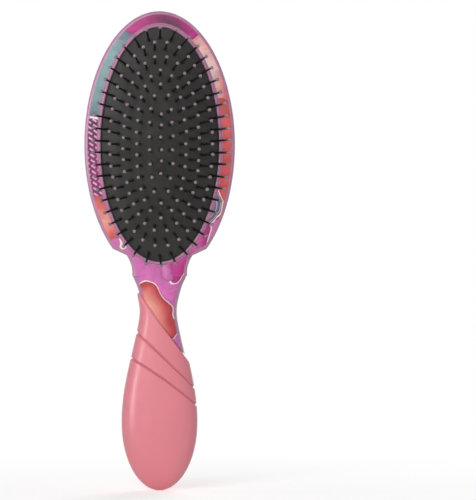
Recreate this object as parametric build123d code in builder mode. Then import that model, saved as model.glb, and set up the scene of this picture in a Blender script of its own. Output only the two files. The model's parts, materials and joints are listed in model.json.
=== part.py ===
from build123d import *

import os
from math import atan2, cos, hypot, pi, radians, sin, sqrt

# Vanity hairbrush: an oval cushioned paddle with ball-tipped pins, a narrow neck and a soft grip.
# Millimetres. The origin is the middle of the grip, +Z runs up to the head, the pins point to -Y
# and the back of the brush faces +Y.

# Grip and neck, as heights above the origin and half sizes of oval sections
GRIP_HALF_WIDTH = 17.8
GRIP_HALF_THICKNESS = 10.2
GRIP_WIDEST_DROP = 4.0  # the widest section is this far below the origin
BUTT_LENGTH = 32.0  # from the widest section to the butt
NECK_HALF_WIDTH = 8.1
NECK_HALF_THICKNESS = 6.4
NECK_HEIGHT = 47.5  # of the narrowest section
NECK_TOP_HALF_WIDTH = 12.6  # at the collar
NECK_TOP_HALF_THICKNESS = 5.8
COLLAR_WAIST_HALF_WIDTH = 12.75
COLLAR_WAIST_RISE = 1.5  # of the collar's narrowest place above its lower edge
COLLAR_LENGTH = 12.6  # from the collar's lower edge to the head's lower corners
SHOULDER_HEIGHT = 77.4  # of the head's two lower corners
SHOULDER_CORNER = 21.9  # half width between those corners
SHOULDER_FALL = 3.0  # from the corners in to the collar
SHOULDER_HALF_WIDTH = 15.4  # of the collar at its top
NECK_TENON = 2.0  # the neck runs this far up inside the collar
NECK_TENON_INSET = 2.0
GRIP_FULLNESS = 0.7  # exponent of the swell from the neck to the widest section: less is fuller
NECK_FLARE = 1.8  # exponent of the flare from the neck to the collar: more is later
GRIP_ROUNDNESS = 2.2  # exponent of the oval sections: 2 is an ellipse, more is squarer
COLLAR_ROUNDNESS = 3.4

# Grip sleeve
GRIP_WALL = 2.0
GRIP_STEP = 1.2  # the sleeve stands this proud of the neck
GRIP_CORE_END = -27.0
GRIP_EDGE_HEIGHT = 43.0  # on the centre line
GRIP_EDGE_TILT = 52.0
GROOVE_WIDTH = 1.1
GROOVE_DEPTH = 0.7
UPPER_GROOVE_HEIGHT = 28.1  # on the centre line
UPPER_GROOVE_SLOPE = 0.94  # fall for each millimetre towards +X, on the centre line
UPPER_GROOVE_BOW = 0.001  # further fall for each square millimetre from the centre line
LOWER_GROOVE_HEIGHT = 17.8
LOWER_GROOVE_SLOPE = 0.69
LOWER_GROOVE_BOW = 0.005

# Head
HEAD_HALF_WIDTH = 35.2
HEAD_HALF_LENGTH = 62.3
RIM_WIDTH = 7.6  # from the cushion's edge to the head's outline
RIM_FACE = -6.0  # Y of the rim's front face
RIM_PLATE = 2.4
RIM_EDGE_RADIUS = 1.6
PARTING = -0.9  # Y of the plane where the front rim sits on the back shell
BACK_APEX = 10.0  # Y of the deepest point of the back
BACK_BULGE = 16.0  # depth of the ellipsoid that the back is a cap of
BACK_SIDE_DROP = 5.5  # how far the back falls from its deepest point to the side of the head
BACK_COLLAR_DROP = 3.7  # and to the collar's lower edge
BACK_EDGE_RADIUS = 3.0
BACK_WALL = 2.2
CHAMBER_MARGIN = -1.7  # of the air chamber's wall from the cushion's edge
PEG_RADIUS = 0.9
PEG_HEIGHT = 2.0
PEG_MARGIN = 5.0  # of the pegs' centres from the cushion's edge
PEG_TURNS = (0, 60, 125, 235, 300)  # degrees round the head from its top
SOCKET_SPARE_DEPTH = 0.3
FIT = 0.05  # clearance of one moulding in another

# Cushion and its frame
FRAME_WALL = 1.4
FRAME_FOOT = 1.4  # width of the foot outside the frame's wall
FRAME_FOOT_THICKNESS = 1.2
BEAD_PROUD = 0.9
BEAD_RADIUS = 0.6
CUSHION_GAP = 0.1
CUSHION_WALL = 1.5
CUSHION_FLANGE_INSET = 0.1  # of the flange's edge from the frame's foot
DOME_HEIGHT = 5.8
DOME_BASE_DROP = 0.2  # the dome starts this far below the rim's face
DOME_BULGE = 30.0  # depth of the ellipsoid that the dome is a cap of

# Pins: five oval rows and a column down the middle
PIN_HEIGHT = 16.0  # from the cushion to the top of the ball
PIN_RADIUS = 0.55
PIN_HOLE_CLEARANCE = 0.05
PIN_FLANGE_RADIUS = 1.3
PIN_FLANGE_THICKNESS = 0.8
PIN_FLANGE_GAP = 0.2
BALL_RADIUS = 0.85
OUTER_ROW_SIDE_INSET = 3.1
OUTER_ROW_END_INSET = 3.9
OUTER_ROW_DROP = 1.2  # the outermost row's oval is this far below the cushion's centre
OUTER_ROW_SPLAY = 5.0  # degrees that its pins lean further out than square to the dome
INNER_ROW_HALF_WIDTH = 4.5
INNER_ROW_HALF_LENGTH = 26.1
ROW_COUNTS = (46, 42, 36, 28, 18)  # from the outside in
ROW_STARTS = (0.0, 0.5, 0.5, 0.0, 0.0)  # spacings from the head's top to the first pin
COLUMN_COUNT = 6
COLUMN_PITCH = 5.2

CUSHION_HALF_WIDTH = HEAD_HALF_WIDTH - RIM_WIDTH
CUSHION_HALF_LENGTH = HEAD_HALF_LENGTH - RIM_WIDTH
HEAD_CENTRE = SHOULDER_HEIGHT + HEAD_HALF_LENGTH * sqrt(1 - (SHOULDER_CORNER / HEAD_HALF_WIDTH) ** 2)
COLLAR_HEIGHT = SHOULDER_HEIGHT - COLLAR_LENGTH
FRAME_FOOT_FRONT = RIM_FACE + RIM_PLATE
FLANGE_FRONT = FRAME_FOOT_FRONT + FRAME_FOOT_THICKNESS
FOOT_MARGIN = FRAME_WALL + FRAME_FOOT
DOME_BASE = RIM_FACE + DOME_BASE_DROP
DOME_CENTRE = DOME_BASE + DOME_BULGE - DOME_HEIGHT  # Y of the dome's ellipsoid's centre

LARGE = 400.0  # side of the blocks that trim whole regions away
GROOVE_OVERRUN = 3.0  # of the groove cutter past the grip


def blend(start, end, share):
    return start + (end - start) * share


def cap_radius(reach, drop, bulge):
    """Radius of an ellipsoid bulge deep whose surface has fallen by drop at a reach from its top."""
    return reach / sqrt(1 - (1 - drop / bulge) ** 2)


def handle_section(height):
    """Half width, half thickness and exponent of the grip's skin at a height. Above the narrowest
    section the skin runs on round the neck, the grip's step away from it."""
    widest = -GRIP_WIDEST_DROP
    if height < widest:
        share = sqrt(1 - ((widest - height) / BUTT_LENGTH) ** 2)
        return GRIP_HALF_WIDTH * share, GRIP_HALF_THICKNESS * share, GRIP_ROUNDNESS
    narrow_width, narrow_thickness = NECK_HALF_WIDTH + GRIP_STEP, NECK_HALF_THICKNESS + GRIP_STEP
    if height < NECK_HEIGHT:
        travel = (height - widest) / (NECK_HEIGHT - widest)
        share = ((1 + cos(pi * travel)) / 2) ** GRIP_FULLNESS
        width = blend(narrow_width, GRIP_HALF_WIDTH, share)
        return width, blend(narrow_thickness, GRIP_HALF_THICKNESS, share), GRIP_ROUNDNESS
    travel = (height - NECK_HEIGHT) / (COLLAR_HEIGHT - NECK_HEIGHT)
    width = blend(narrow_width, NECK_TOP_HALF_WIDTH + GRIP_STEP, travel**NECK_FLARE)
    thickness = blend(narrow_thickness, NECK_TOP_HALF_THICKNESS + GRIP_STEP, travel)
    return width, thickness, blend(GRIP_ROUNDNESS, COLLAR_ROUNDNESS, travel)


def collar_half_width(height):
    """Half width of the collar, which is narrowest a little above its lower edge."""
    waist = COLLAR_HEIGHT + COLLAR_WAIST_RISE
    travel = (height - waist) / (SHOULDER_HEIGHT - SHOULDER_FALL - waist)
    return blend(COLLAR_WAIST_HALF_WIDTH, SHOULDER_HALF_WIDTH, travel**2)


def oval_points(half_width, half_thickness, exponent, count=24):
    """Points round an oval section, from +X, on a curve that is squarer for a larger exponent."""
    points = []
    for index in range(count):
        c, s = cos(2 * pi * index / count), sin(2 * pi * index / count)
        x = half_width * abs(c) ** (2 / exponent) * (1 if c >= 0 else -1)
        y = half_thickness * abs(s) ** (2 / exponent) * (1 if s >= 0 else -1)
        points.append((x, y))
    return points


def handle_oval(height, section_height, inset):
    """Face at a height with the handle's section of section_height, made smaller all round by inset."""
    half_width, half_thickness, exponent = handle_section(section_height)
    with BuildSketch(Plane.XY.offset(height)) as section:
        with BuildLine():
            Spline(oval_points(half_width - inset, half_thickness - inset, exponent), periodic=True)
        make_face()
    return section.sketch


def handle_ovals(heights, inset):
    return [handle_oval(height, height, inset) for height in heights]


def face_plane(y):
    """Plane across the head at a depth y, looking out past the pins, centred on the cushion."""
    return Plane(origin=(0, y, HEAD_CENTRE), x_dir=(1, 0, 0), z_dir=(0, -1, 0))


def oval_slab(margin, back, front, mode=Mode.ADD):
    """Slab between two depths, bounded by the cushion's edge moved out by margin."""
    with BuildSketch(face_plane(back)) as oval:
        Ellipse(CUSHION_HALF_WIDTH + margin, CUSHION_HALF_LENGTH + margin)
    extrude(oval.sketch, amount=back - front, mode=mode)


def paddle_outline(y):
    """Outline of the head above the shoulder and of the collar below it, at a depth y."""
    right = [(collar_half_width(height), height - HEAD_CENTRE) for height in collar_heights]
    left = [(-x, z) for x, z in right]
    corner = SHOULDER_HEIGHT - HEAD_CENTRE
    overlap = corner + COLLAR_LENGTH
    with BuildSketch(face_plane(y)) as outline:
        Ellipse(HEAD_HALF_WIDTH, HEAD_HALF_LENGTH)
        with Locations((0, corner)):
            Rectangle(LARGE, LARGE, align=(Align.CENTER, Align.MAX), mode=Mode.SUBTRACT)
        with BuildLine():
            Spline(right)
            Polyline(right[-1], (SHOULDER_CORNER, corner), (SHOULDER_CORNER, overlap))
            Line((SHOULDER_CORNER, overlap), (-SHOULDER_CORNER, overlap))
            Polyline((-SHOULDER_CORNER, overlap), (-SHOULDER_CORNER, corner), left[-1])
            Spline(left)
            Line(left[0], right[0])
        make_face()
    return outline.sketch


def peg_circles(radius):
    """Circles for the pegs round the head, on the parting plane."""
    half_width, half_length = CUSHION_HALF_WIDTH + PEG_MARGIN, CUSHION_HALF_LENGTH + PEG_MARGIN
    turns = [radians(turn) for turn in PEG_TURNS]
    with BuildSketch(face_plane(PARTING)) as circles:
        with Locations(*[(half_width * sin(turn), half_length * cos(turn)) for turn in turns]):
            Circle(radius)
    return circles.sketch


def tilted_plane(height, tilt):
    """Plane along Y that crosses the centre line at a height and falls towards +X by tilt degrees."""
    return Plane(origin=(0, 0, height), x_dir=(0, 1, 0), z_dir=(sin(radians(tilt)), 0, cos(radians(tilt))))


def even_round(half_width, half_length, count, start):
    """Points spaced evenly round an ellipse, the first of them start spacings after its +Z end."""
    fine = 720
    angles = [2 * pi * index / fine for index in range(fine + 1)]
    outline = [(half_width * sin(a), half_length * cos(a)) for a in angles]
    run = [0.0]
    for (x0, z0), (x1, z1) in zip(outline, outline[1:]):
        run.append(run[-1] + hypot(x1 - x0, z1 - z0))
    points = []
    for index in range(count):
        goal = run[-1] * (index + start) / count
        after = next(place for place, length in enumerate(run) if length > goal)
        share = (goal - run[after - 1]) / (run[after] - run[after - 1])
        (x0, z0), (x1, z1) = outline[after - 1], outline[after]
        points.append((blend(x0, x1, share), blend(z0, z1, share)))
    return points


def pin_place(x, z, splay):
    """Location on the cushion's dome, x and z from the cushion's centre, with +Z leaning out by splay
    degrees from square to the dome."""
    depth = DOME_BULGE * sqrt(1 - (x / DOME_RADIUS_X) ** 2 - (z / DOME_RADIUS_Z) ** 2)
    out_x, out_z = x / DOME_RADIUS_X**2, z / DOME_RADIUS_Z**2
    out = hypot(out_x, out_z)
    lean = atan2(out, depth / DOME_BULGE**2) + radians(splay)
    direction = (sin(lean) * out_x / out, -cos(lean), sin(lean) * out_z / out)
    origin = (x, DOME_CENTRE - depth, HEAD_CENTRE + z)
    return Plane(origin=origin, z_dir=direction).location


def row_points():
    """Root points of every row, from the outermost to the column down the middle."""
    outer_width = CUSHION_HALF_WIDTH - OUTER_ROW_SIDE_INSET
    outer_length = CUSHION_HALF_LENGTH - OUTER_ROW_END_INSET
    rows = []
    for index, (count, start) in enumerate(zip(ROW_COUNTS, ROW_STARTS)):
        share = index / (len(ROW_COUNTS) - 1)
        half_width = blend(outer_width, INNER_ROW_HALF_WIDTH, share)
        half_length = blend(outer_length, INNER_ROW_HALF_LENGTH, share)
        rows.append(even_round(half_width, half_length, count, start))
    column = [(0, COLUMN_PITCH * (index - (COLUMN_COUNT - 1) / 2)) for index in range(COLUMN_COUNT)]
    return rows + [column]


def write(built, name):
    built.part.label = name
    export_step(built.part, f"parts/{name}.step")


os.makedirs("parts", exist_ok=True)

# Radii of the ellipsoid that the cushion's dome is a cap of
DOME_RADIUS_X = cap_radius(CUSHION_HALF_WIDTH - CUSHION_GAP, DOME_HEIGHT, DOME_BULGE)
DOME_RADIUS_Z = cap_radius(CUSHION_HALF_LENGTH - CUSHION_GAP, DOME_HEIGHT, DOME_BULGE)

# Handle forms: the grip's outer skin, the floor of its grooves, the neck and the core inside the grip
butt_turns = (84, 70, 56, 42, 28, 14, 0)
butt_heights = [-GRIP_WIDEST_DROP - BUTT_LENGTH * sin(radians(turn)) for turn in butt_turns]
grip_shares = (0.15, 0.3, 0.45, 0.6, 0.75, 0.9)
grip_heights = [blend(-GRIP_WIDEST_DROP, NECK_HEIGHT, share) for share in grip_shares]
neck_shares = (0, 0.3, 0.6, 0.8)
neck_heights = [blend(NECK_HEIGHT, COLLAR_HEIGHT, share) for share in neck_shares]
collar_shares = (0, 0.35, 0.7, 1)
collar_heights = [blend(COLLAR_HEIGHT, SHOULDER_HEIGHT - SHOULDER_FALL, share) for share in collar_shares]
handle_heights = butt_heights + grip_heights + neck_heights
core_heights = [GRIP_CORE_END] + [height for height in handle_heights if height > GRIP_CORE_END + 3]
grip_edge = tilted_plane(GRIP_EDGE_HEIGHT, GRIP_EDGE_TILT)

with BuildPart() as grip_form:
    loft(handle_ovals(handle_heights, 0))

with BuildPart() as groove_floor:
    loft(handle_ovals(handle_heights, GROOVE_DEPTH))

with BuildPart() as core_form:
    loft(handle_ovals(core_heights, GRIP_WALL))

with BuildPart() as neck_form:
    tenon = handle_oval(COLLAR_HEIGHT + NECK_TENON, COLLAR_HEIGHT, GRIP_STEP + NECK_TENON_INSET)
    loft(handle_ovals(grip_heights + neck_heights + [COLLAR_HEIGHT], GRIP_STEP) + [tenon])
    split(bisect_by=grip_edge, keep=Keep.TOP)
    with Locations((0, PARTING, COLLAR_HEIGHT)):
        Box(LARGE, LARGE, LARGE, align=(Align.CENTER, Align.MAX, Align.MIN), mode=Mode.SUBTRACT)

# The ellipsoids that the head's back and the cushion's dome are caps of
with BuildPart() as back_ellipsoid:
    Sphere(1)
    back_x = cap_radius(HEAD_HALF_WIDTH, BACK_SIDE_DROP, BACK_BULGE)
    back_z = cap_radius(HEAD_CENTRE - COLLAR_HEIGHT, BACK_COLLAR_DROP, BACK_BULGE)
    scale(by=(back_x, BACK_BULGE, back_z))

with BuildPart() as dome_ellipsoid:
    Sphere(1)
    scale(by=(DOME_RADIUS_X, DOME_BULGE, DOME_RADIUS_Z))

# Back shell: domed back with the air chamber in it, neck and the core of the handle in one moulding
with BuildPart() as air_chamber:
    oval_slab(CHAMBER_MARGIN, BACK_APEX, PARTING)
    with Locations((0, BACK_APEX - BACK_WALL - BACK_BULGE, HEAD_CENTRE)):
        add(back_ellipsoid.part, mode=Mode.INTERSECT)

with BuildPart() as back_shell:
    extrude(paddle_outline(BACK_APEX + 1), amount=BACK_APEX + 1 - PARTING)
    with Locations((0, BACK_APEX - BACK_BULGE, HEAD_CENTRE)):
        add(back_ellipsoid.part, mode=Mode.INTERSECT)
    fillet(faces().sort_by(Axis.Y)[-1].edges(), BACK_EDGE_RADIUS)
    add(neck_form.part)
    add(air_chamber.part, mode=Mode.SUBTRACT)
    add(core_form.part)
    extrude(peg_circles(PEG_RADIUS), amount=PEG_HEIGHT)
write(back_shell, "back_shell")

# Grip sleeve: soft skin over the core, with an oblique upper edge and two slanting, bowed grooves
with BuildPart() as groove_cutter:
    for height, slope, bow in (
        (UPPER_GROOVE_HEIGHT, UPPER_GROOVE_SLOPE, UPPER_GROOVE_BOW),
        (LOWER_GROOVE_HEIGHT, LOWER_GROOVE_SLOPE, LOWER_GROOVE_BOW),
    ):
        reaches = [share * (GRIP_HALF_WIDTH + GROOVE_OVERRUN) for share in (-1, -0.5, 0, 0.5, 1)]
        with BuildSketch(Plane.XZ):
            with BuildLine():
                Spline([(x, height - slope * x - bow * x**2) for x in reaches])
            trace(line_width=GROOVE_WIDTH)
        extrude(amount=GRIP_HALF_THICKNESS + GROOVE_OVERRUN, both=True)
    add(groove_floor.part, mode=Mode.SUBTRACT)

with BuildPart() as grip_sleeve:
    add(grip_form.part)
    split(bisect_by=grip_edge, keep=Keep.BOTTOM)
    add(core_form.part, mode=Mode.SUBTRACT)
    add(groove_cutter.part, mode=Mode.SUBTRACT)
write(grip_sleeve, "grip_sleeve")

# Front rim: flat oval plate with a skirt, its lower end running into the collar of the neck
with BuildPart() as front_rim:
    extrude(paddle_outline(PARTING), amount=PARTING - RIM_FACE)
    curved_edges = faces().sort_by(Axis.Y)[0].edges().filter_by(GeomType.LINE, reverse=True)
    fillet(curved_edges, RIM_EDGE_RADIUS)
    oval_slab(FRAME_WALL + FIT, PARTING, RIM_FACE, mode=Mode.SUBTRACT)
    oval_slab(FOOT_MARGIN + FIT, PARTING, FRAME_FOOT_FRONT, mode=Mode.SUBTRACT)
    extrude(peg_circles(PEG_RADIUS + FIT), amount=PEG_HEIGHT + SOCKET_SPARE_DEPTH, mode=Mode.SUBTRACT)
write(front_rim, "front_rim")

# Cushion frame: thin ring with a rounded bead over the rim and a foot under it
with BuildPart() as cushion_frame:
    oval_slab(FRAME_WALL, FLANGE_FRONT, RIM_FACE - BEAD_PROUD)
    oval_slab(FOOT_MARGIN, FLANGE_FRONT, FRAME_FOOT_FRONT)
    oval_slab(0, FLANGE_FRONT, RIM_FACE - BEAD_PROUD, mode=Mode.SUBTRACT)
    fillet(faces().sort_by(Axis.Y)[0].edges(), BEAD_RADIUS)
write(cushion_frame, "cushion_frame")

outer_row, *inner_rows = row_points()
row_places = [[pin_place(x, z - OUTER_ROW_DROP, OUTER_ROW_SPLAY) for x, z in outer_row]]
row_places += [[pin_place(x, z, 0) for x, z in row] for row in inner_rows]

# Cushion pad: rubber dome with a clamped flange and a hole for every pin
with BuildPart() as cushion_void:
    oval_slab(-CUSHION_GAP - CUSHION_WALL, PARTING, DOME_BASE - DOME_HEIGHT)
    with Locations((0, DOME_CENTRE + CUSHION_WALL, HEAD_CENTRE)):
        add(dome_ellipsoid.part, mode=Mode.INTERSECT)

with BuildPart() as cushion_pad:
    oval_slab(-CUSHION_GAP, PARTING, DOME_BASE - DOME_HEIGHT - 1)
    with Locations((0, DOME_CENTRE, HEAD_CENTRE)):
        add(dome_ellipsoid.part, mode=Mode.INTERSECT)
    oval_slab(FOOT_MARGIN - CUSHION_FLANGE_INSET, PARTING, FLANGE_FRONT)
    add(cushion_void.part, mode=Mode.SUBTRACT)
    for places in row_places:
        with Locations(*places):
            Cylinder(PIN_RADIUS + PIN_HOLE_CLEARANCE, 4 * CUSHION_WALL, mode=Mode.SUBTRACT)
write(cushion_pad, "cushion_pad")

# One pin and one ball, each drawn with its root on the cushion's surface
with BuildPart() as pin:
    with Locations((0, 0, -CUSHION_WALL - PIN_FLANGE_GAP)):
        shaft_length = PIN_HEIGHT - BALL_RADIUS + CUSHION_WALL + PIN_FLANGE_GAP
        Cylinder(PIN_RADIUS, shaft_length, align=(Align.CENTER, Align.CENTER, Align.MIN))
        flange_align = (Align.CENTER, Align.CENTER, Align.MAX)
        Cylinder(PIN_FLANGE_RADIUS, PIN_FLANGE_THICKNESS, align=flange_align)

with BuildPart() as ball:
    with Locations((0, 0, PIN_HEIGHT - BALL_RADIUS)):
        Sphere(BALL_RADIUS)
        Cylinder(PIN_RADIUS, BALL_RADIUS, align=(Align.CENTER, Align.CENTER, Align.MAX), mode=Mode.SUBTRACT)

row_names = [f"row_{index + 1}" for index in range(len(ROW_COUNTS))] + ["centre"]
for row_name, places in zip(row_names, row_places):
    with BuildPart() as pins:
        with Locations(*places):
            add(pin.part)
    write(pins, f"{row_name}_pins")
    with BuildPart() as balls:
        with Locations(*places):
            add(ball.part)
    write(balls, f"{row_name}_balls")
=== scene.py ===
"""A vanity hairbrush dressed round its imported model: printed shells, rubber cushion, pins and soft
grip. Metres. +Z runs up to the head, and the pins point to -Y."""

import json
import math

import bmesh
import bpy
import numpy as np
from bpy.props import FloatProperty, FloatVectorProperty, IntProperty, PointerProperty
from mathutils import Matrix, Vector, kdtree

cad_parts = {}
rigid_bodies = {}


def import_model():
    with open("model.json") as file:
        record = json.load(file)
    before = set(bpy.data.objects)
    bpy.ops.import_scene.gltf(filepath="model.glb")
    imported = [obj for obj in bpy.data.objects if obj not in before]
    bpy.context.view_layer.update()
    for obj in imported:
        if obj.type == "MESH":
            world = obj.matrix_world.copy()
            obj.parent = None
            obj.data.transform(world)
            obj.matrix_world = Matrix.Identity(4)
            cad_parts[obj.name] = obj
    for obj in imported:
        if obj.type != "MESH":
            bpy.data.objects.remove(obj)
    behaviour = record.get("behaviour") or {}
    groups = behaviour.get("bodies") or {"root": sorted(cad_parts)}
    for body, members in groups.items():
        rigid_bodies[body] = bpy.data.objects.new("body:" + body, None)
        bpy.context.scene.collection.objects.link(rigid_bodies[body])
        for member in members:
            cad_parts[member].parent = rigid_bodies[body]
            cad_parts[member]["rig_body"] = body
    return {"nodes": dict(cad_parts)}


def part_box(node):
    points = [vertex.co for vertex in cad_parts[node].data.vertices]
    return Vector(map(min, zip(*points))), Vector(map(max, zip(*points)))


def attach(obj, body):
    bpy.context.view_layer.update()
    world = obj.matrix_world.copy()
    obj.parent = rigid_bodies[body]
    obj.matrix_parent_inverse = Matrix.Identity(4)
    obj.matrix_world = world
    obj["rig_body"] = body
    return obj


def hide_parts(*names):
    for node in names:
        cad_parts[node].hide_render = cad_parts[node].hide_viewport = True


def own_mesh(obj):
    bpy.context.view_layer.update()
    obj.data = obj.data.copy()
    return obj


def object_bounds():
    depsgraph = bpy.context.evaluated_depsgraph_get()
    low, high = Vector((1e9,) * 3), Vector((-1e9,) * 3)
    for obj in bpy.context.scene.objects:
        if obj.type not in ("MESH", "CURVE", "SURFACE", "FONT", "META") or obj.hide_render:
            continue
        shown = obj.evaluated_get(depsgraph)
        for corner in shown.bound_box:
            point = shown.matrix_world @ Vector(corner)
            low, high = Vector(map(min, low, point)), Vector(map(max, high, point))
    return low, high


bl_info = {
    "name": "Vanity hairbrush",
    "version": (1, 0, 0),
    "blender": (4, 5, 0),
    "location": "3D View > Sidebar > Hairbrush",
    "description": "Dresses the pieces of a cushioned hairbrush",
    "category": "Object",
}

for leftover in list(bpy.data.objects):
    bpy.data.objects.remove(leftover)
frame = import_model()
cad_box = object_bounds()

MM = 0.001
WHITE = (1, 1, 1, 1)
BLACK = (0, 0, 0, 1)
HANDLE = "handle"
PACKED_GAP = 1e-6  # packed corners closer than this are one corner

# The head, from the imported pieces
rim_low, rim_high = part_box("front_rim")
foot_low, foot_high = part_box("cushion_frame")
pad_low, pad_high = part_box("cushion_pad")
grip_low, grip_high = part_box("grip_sleeve")
HEAD_CENTRE = (foot_low.z + foot_high.z) / 2
HEAD_HALF_WIDTH = rim_high.x
HEAD_HALF_LENGTH = rim_high.z - HEAD_CENTRE
RIM_FACE = rim_low.y
FOOT_MARGIN = 2.8 * MM  # from the cushion's edge to the edge of the frame's foot
FRAME_WALL = 1.4 * MM
CUSHION_GAP = 0.1 * MM
CUSHION_HALF_WIDTH = foot_high.x - FOOT_MARGIN - CUSHION_GAP
CUSHION_HALF_LENGTH = foot_high.z - HEAD_CENTRE - FOOT_MARGIN - CUSHION_GAP
PARTING = pad_high.y
FLANGE_THICKNESS = 1.5 * MM
FLANGE_FRONT = PARTING - FLANGE_THICKNESS
FLANGE_MARGIN = FOOT_MARGIN - CUSHION_GAP
DOME_BASE = RIM_FACE + 0.2 * MM  # the dome springs from a little under the rim's face
DOME_HEIGHT = DOME_BASE - pad_low.y
DOME_BULGE = 30 * MM  # depth of the ellipsoid that the dome is a cap of
FULL_WALL_HEIGHT = 2 * MM  # the rubber thins where the dome is lower than this
SKIN_LAP = 0.5 * MM  # from the dome's base to the flange's inner corner

# The handle: half sizes of its oval sections
WIDEST_HEIGHT = -4 * MM
BUTT_LENGTH = WIDEST_HEIGHT - grip_low.z
GRIP_HALF_WIDTH = grip_high.x
GRIP_HALF_THICKNESS = grip_high.y
GRIP_ROUNDNESS = 2.2  # exponent of the oval sections: 2 is an ellipse, more is squarer
GRIP_FULLNESS = 0.7  # exponent of the swell from the neck to the widest section
GRIP_WALL = 2 * MM
GRIP_STEP = 1.2 * MM  # the sleeve stands this proud of the neck
NECK_HALF_WIDTH = 8.1 * MM
NECK_HALF_THICKNESS = 6.4 * MM
NECK_HEIGHT = 47.5 * MM
NECK_TOP_HALF_WIDTH = 12.6 * MM
NECK_TOP_HALF_THICKNESS = 5.8 * MM
NECK_FLARE = 1.8  # exponent of the flare from the neck to the collar
SLEEVE_CORE_HEIGHT = NECK_HEIGHT - 20 * MM  # where the sleeve's skin closes inside the handle
COLLAR_HEIGHT = rim_low.z
COLLAR_ROUNDNESS = 3.4
COLLAR_WAIST_HEIGHT = COLLAR_HEIGHT + 1.5 * MM
COLLAR_WAIST_HALF_WIDTH = 12.75 * MM
COLLAR_LENGTH = 12.6 * MM
SHOULDER_HEIGHT = COLLAR_HEIGHT + COLLAR_LENGTH
SHOULDER_FALL = 3 * MM  # from the head's lower corners in to the collar
SHOULDER_HALF_WIDTH = 15.4 * MM


def linear(code):
    """Scene-linear red, green and blue of an sRGB hex code."""
    channels = [int(code[place : place + 2], 16) / 255 for place in (1, 3, 5)]
    return tuple(c / 12.92 if c <= 0.04045 else ((c + 0.055) / 1.055) ** 2.4 for c in channels)


def ink(name, code, description):
    return FloatVectorProperty(
        name=name, description=description, subtype="COLOR", min=0, max=1, default=linear(code)
    )


def number(name, value, description, **limits):
    return FloatProperty(name=name, description=description, default=value, **limits)


def length(name, value, description):
    return number(name, value, description, unit="LENGTH", min=0, precision=5)


def power(name, value, description):
    return number(name, value, description, unit="POWER", min=0)


class PrintSettings(bpy.types.PropertyGroup):
    coral: ink("Coral", "#DB5A5A", "Coral ink")
    peach: ink("Peach", "#EA9A8C", "Thinned coral ink")
    red: ink("Red", "#C43841", "Pooled coral ink")
    orchid: ink("Orchid", "#D469B2", "Orchid pink ink")
    petal: ink("Petal", "#F0A8D8", "Thinned orchid ink")
    magenta: ink("Magenta", "#BE1C84", "Magenta ink")
    plum: ink("Plum", "#5A1840", "Pooled plum ink")
    teal: ink("Teal", "#8FB5B5", "Pale teal ink")
    slate: ink("Slate", "#5F7080", "Pooled teal ink")
    cream: ink("Cream", "#F7EAE4", "Bare cream ground and drawn lines")
    edge: ink("Edge", "#B57D9F", "Lavender moulding that shows past the print's edge")
    edge_width: length("Edge width", 1.5 * MM, "Bare moulding left round the print")
    bead_width: length("Bead width", 0.6 * MM, "Bare moulding left round the cushion's frame")
    drift: length("Drift", 9 * MM, "How far the pools' outlines wander")
    drift_size: length("Drift size", 24 * MM, "Size of the folds in the pools' outlines")
    stripe_pitch: length("Stripe pitch", 1.9 * MM, "Spacing of the drawn pinstripes")
    dash_length: length("Dash length", 3.4 * MM, "Spacing of the drawn dashes along their rows")
    dash_pitch: length("Dash pitch", 2.0 * MM, "Spacing of the rows of dashes")


class CushionSettings(bpy.types.PropertyGroup):
    rubber: ink("Rubber", "#302F2E", "Black rubber of the cushion")
    bead: ink("Bead", "#B77E9E", "Pink moulding of the frame round the cushion")
    wall: length("Wall", 1.5 * MM, "Thickness of the rubber")
    dimple_radius: length("Dimple radius", 1.3 * MM, "Radius of the dip round each pin")
    dimple_depth: length("Dimple depth", 0.35 * MM, "Depth of the dip round each pin")
    cell: length("Cell", 0.5 * MM, "Size of the dome's mesh faces")


class PinSettings(bpy.types.PropertyGroup):
    nylon: ink("Nylon", "#1A1719", "Near-black nylon of the shafts")
    tip: ink("Tips", "#87767F", "Dusty pink of the balls")
    height: length("Height", 16 * MM, "From the cushion to the top of the ball")
    root_radius: length("Root radius", 0.6 * MM, "Shaft radius at the cushion")
    neck_radius: length("Neck radius", 0.42 * MM, "Shaft radius under the ball")
    ball_radius: length("Ball radius", 0.85 * MM, "Radius of the ball")
    sink: length("Sink", 1.4 * MM, "Length of shaft inside the cushion")
    stray: length("Stray", 0.3 * MM, "How far a ball strays from its true place")
    seed: IntProperty(name="Seed", description="Seed of the pins' stray", default=4, min=0)


class GripSettings(bpy.types.PropertyGroup):
    rubber: ink("Rubber", "#E68893", "Dusty rose of the soft grip")
    # Painted shade: this deeper rose stands in for the shade that falls inside the grooves.
    groove: ink("Groove", "#C9747E", "Deeper rose in the grooves")
    edge_height: length("Edge height", 43.0 * MM, "Height of the upper edge in the middle")
    edge_tilt: number("Edge tilt", 52, "Slope of the upper edge, in degrees", min=0, max=80)
    lip: length("Lip", 1.15 * MM, "Radius of the rounded lip at the upper edge")
    upper_height: length("Upper groove", 28.1 * MM, "Height of the upper groove in the middle")
    upper_slope: number("Upper slope", 0.94, "Fall of the upper groove towards +X")
    upper_bow: number("Upper bow", 1, "Further fall of the upper groove, per metre")
    lower_height: length("Lower groove", 17.8 * MM, "Height of the lower groove in the middle")
    lower_slope: number("Lower slope", 0.69, "Fall of the lower groove towards +X")
    lower_bow: number("Lower bow", 5, "Further fall of the lower groove, per metre")
    groove_half_width: length("Groove half width", 0.6 * MM, "Half a groove's width at the skin")
    groove_depth: length("Groove depth", 0.7 * MM, "Depth of a groove")
    columns: IntProperty(name="Columns", description="Faces round the grip", default=224, min=24)


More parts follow.
